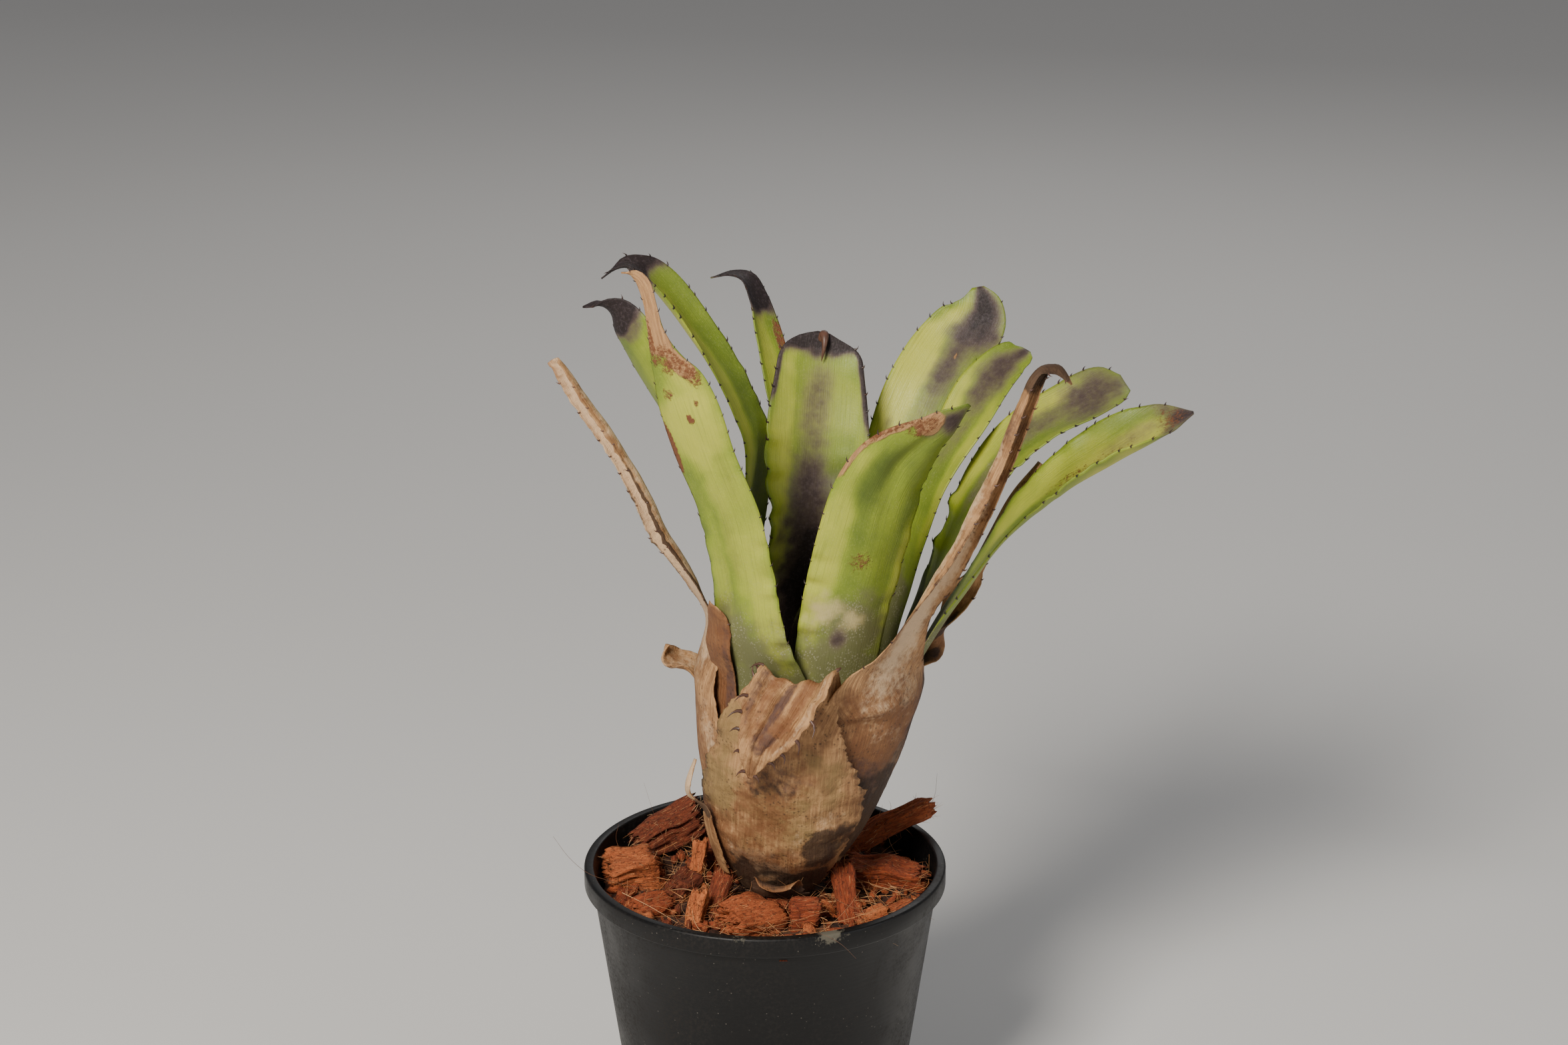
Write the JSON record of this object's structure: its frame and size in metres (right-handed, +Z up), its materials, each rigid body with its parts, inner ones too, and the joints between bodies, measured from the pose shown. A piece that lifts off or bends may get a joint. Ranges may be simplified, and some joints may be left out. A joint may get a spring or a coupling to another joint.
{
  "type": "potted bromeliad",
  "caption": "Small funnel bromeliad with upright strap leaves and dried sheaths, in a round tapered plastic nursery pot of coconut-husk chips.",
  "frame": {"origin": "centre of the pot's flat base, on the surface it stands on", "axes": "+Z up along the pot's axis; -Y towards the front, where the torn dry sheath is; +X towards the side the trunk leans to"},
  "size_m": [0.1958, 0.1246, 0.3177],
  "materials": {
    "pot_plastic": "smooth black, half matt, dusty with pale lime marks at the rim",
    "coco_bed": "dark fine coir and crumbled husk",
    "coco_husk": "rough orange to red-brown fibrous husk",
    "stem_wood": "rough brown",
    "green_leaf": "satin yellow-green with a fine scurf, purple-black tips and centre",
    "dry_leaf": "dry matt tan to brown with fine lengthwise fibres"
  },
  "bodies": {
    "root": {"pot": "pot_plastic", "coco_fill": "coco_bed", "stem": "stem_wood", "leaf_front_left": "green_leaf", "leaf_front_right": "green_leaf", "leaf_right_low": "green_leaf", "leaf_right": "green_leaf", "leaf_right_back": "green_leaf", "leaf_back_right": "green_leaf", "leaf_back": "green_leaf", "leaf_back_tall": "green_leaf", "leaf_back_left": "green_leaf", "leaf_left": "green_leaf", "heart_leaf_front": "green_leaf", "heart_leaf_back": "green_leaf", "dead_sheath_front": "dry_leaf", "dead_sheath_back": "dry_leaf", "dead_leaf_right": "dry_leaf", "dead_leaf_left": "dry_leaf", "dead_leaf_right_back": "dry_leaf", "dead_sheath_left": "dry_leaf", "dead_leaf_stub": "dry_leaf", "basal_strip_left": "dry_leaf", "coco_chip_01": "coco_husk", "coco_chip_02": "coco_husk", "coco_chip_03": "coco_husk", "coco_chip_04": "coco_husk", "coco_chip_05": "coco_husk", "coco_chip_06": "coco_husk", "coco_chip_07": "coco_husk", "coco_chip_08": "coco_husk", "coco_chip_09": "coco_husk", "coco_chip_10": "coco_husk", "coco_chip_11": "coco_husk", "coco_chip_12": "coco_husk", "coco_chip_13": "coco_husk", "coco_chip_14": "coco_husk", "coco_chip_15": "coco_husk", "coco_chip_16": "coco_husk", "coco_chip_17": "coco_husk", "coco_chip_18": "coco_husk", "coco_chip_19": "coco_husk", "coco_chip_20": "coco_husk", "coco_chip_21": "coco_husk", "coco_chip_22": "coco_husk", "coco_chip_23": "coco_husk", "coco_chip_24": "coco_husk", "coco_chip_25": "coco_husk", "coco_chip_26": "coco_husk"}
  },
  "joints": []
}
